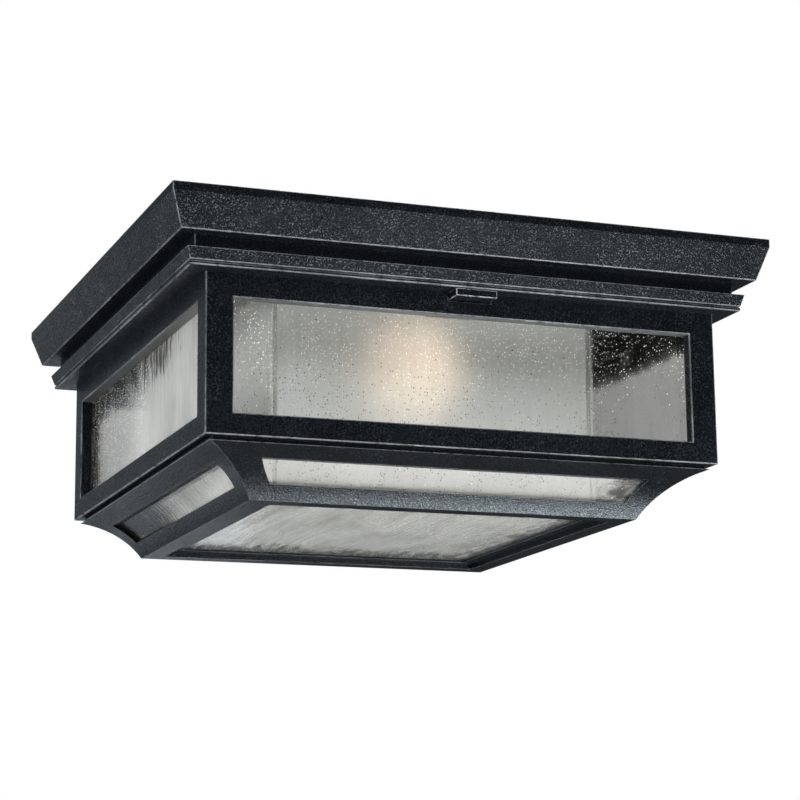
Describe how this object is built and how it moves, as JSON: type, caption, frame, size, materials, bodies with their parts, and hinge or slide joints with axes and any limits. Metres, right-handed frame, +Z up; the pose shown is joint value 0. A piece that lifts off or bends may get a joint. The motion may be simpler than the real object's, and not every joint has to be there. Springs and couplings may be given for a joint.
{
  "type": "outdoor ceiling light",
  "caption": "Square flush-mount porch lantern with a stepped canopy, seeded glass windows, a curved glazed cove and an etched inner box round a lamp; the glazed cage swings down.",
  "frame": {"origin": "centre of the ceiling face, on the mounting bar", "axes": "+Z up into the ceiling, -Y to the front face with the latch, +X to the right seen from the front"},
  "size_m": [0.33, 0.33, 0.146],
  "materials": {
    "zinc_paint": "dark weathered zinc paint on cast and pressed aluminium, with pale flecks and worn edges",
    "seeded_glass": "clear glass with small seeds and drawn streaks",
    "etched_glass": "etched white glass",
    "zinc_plate": "zinc plated steel",
    "spring_steel": "bare spring steel",
    "brass": "satin brass",
    "green_paint": "green earth screw",
    "white_enamel": "white enamelled sheet",
    "porcelain": "glazed porcelain",
    "black_rubber": "closed cell foam and rubber",
    "lamp_glass": "frosted lamp glass, lit",
    "lamp_metal": "bright lamp cap",
    "black_glass": "black glass"
  },
  "bodies": {
    "canopy": {"ceiling_gasket": "black_rubber", "canopy_pan": "zinc_paint", "mounting_bar": "zinc_plate", "mounting_screws": "zinc_plate", "cap_nuts": "brass", "ground_screw": "green_paint", "wire_grommet": "black_rubber", "reflector": "white_enamel", "reflector_screws": "zinc_plate", "lampholder_bracket": "zinc_plate", "bracket_screws": "zinc_plate", "lampholder": "porcelain", "socket_shell": "brass", "socket_contact": "brass", "lampholder_screws": "zinc_plate", "tier_tray": "zinc_paint", "tray_screws": "zinc_plate", "hinge_leaves_fixed": "zinc_paint", "hinge_rivets": "zinc_plate", "hinge_pins": "zinc_plate", "strike_plate": "zinc_paint", "strike_rivets": "zinc_plate"},
    "cage": {"cage_frame": "zinc_paint", "cove_frame": "zinc_paint", "bottom_pane": "seeded_glass", "diffuser_bottom": "etched_glass", "diffuser_holder": "white_enamel", "holder_screws": "zinc_plate", "pane_top_clips": "spring_steel", "pane_foot_clips": "spring_steel", "pane_clip_screws": "zinc_plate", "cove_pane_clips": "spring_steel", "cove_clip_screws": "zinc_plate", "cage_screws": "zinc_plate", "hinge_leaves_moving": "zinc_paint", "hinge_screws": "zinc_plate", "latch_guide": "zinc_paint", "latch_guide_screws": "zinc_plate", "latch_spring": "spring_steel", "pane_front": "seeded_glass", "pane_right": "seeded_glass", "pane_rear": "seeded_glass", "pane_left": "seeded_glass", "cove_pane_front": "seeded_glass", "cove_pane_right": "seeded_glass", "cove_pane_rear": "seeded_glass", "cove_pane_left": "seeded_glass", "diffuser_front": "etched_glass", "diffuser_right": "etched_glass", "diffuser_rear": "etched_glass", "diffuser_left": "etched_glass"},
    "latch": {"latch_slide": "zinc_paint"},
    "lamp": {"lamp_globe": "lamp_glass", "lamp_base": "lamp_metal", "lamp_insulator": "black_glass", "lamp_contact": "brass"}
  },
  "joints": [
    {"name": "cage_swing", "type": "hinge", "parent": "canopy", "child": "cage", "pos_m": [0, 0.1562, -0.0366], "axis": [1, 0, 0], "range_deg": [0, 90]},
    {"name": "latch_push", "type": "slide", "parent": "cage", "child": "latch", "axis": [0, 1, 0], "range_m": [0, 0.005], "stiffness_N_per_m": 500, "springref_m": -0.003, "deforming": ["latch_spring"]},
    {"name": "lamp_turn", "type": "hinge", "parent": "canopy", "child": "lamp", "pos_m": [0, 0, -0.062], "axis": [0, 1, 0], "continuous": true}
  ]
}
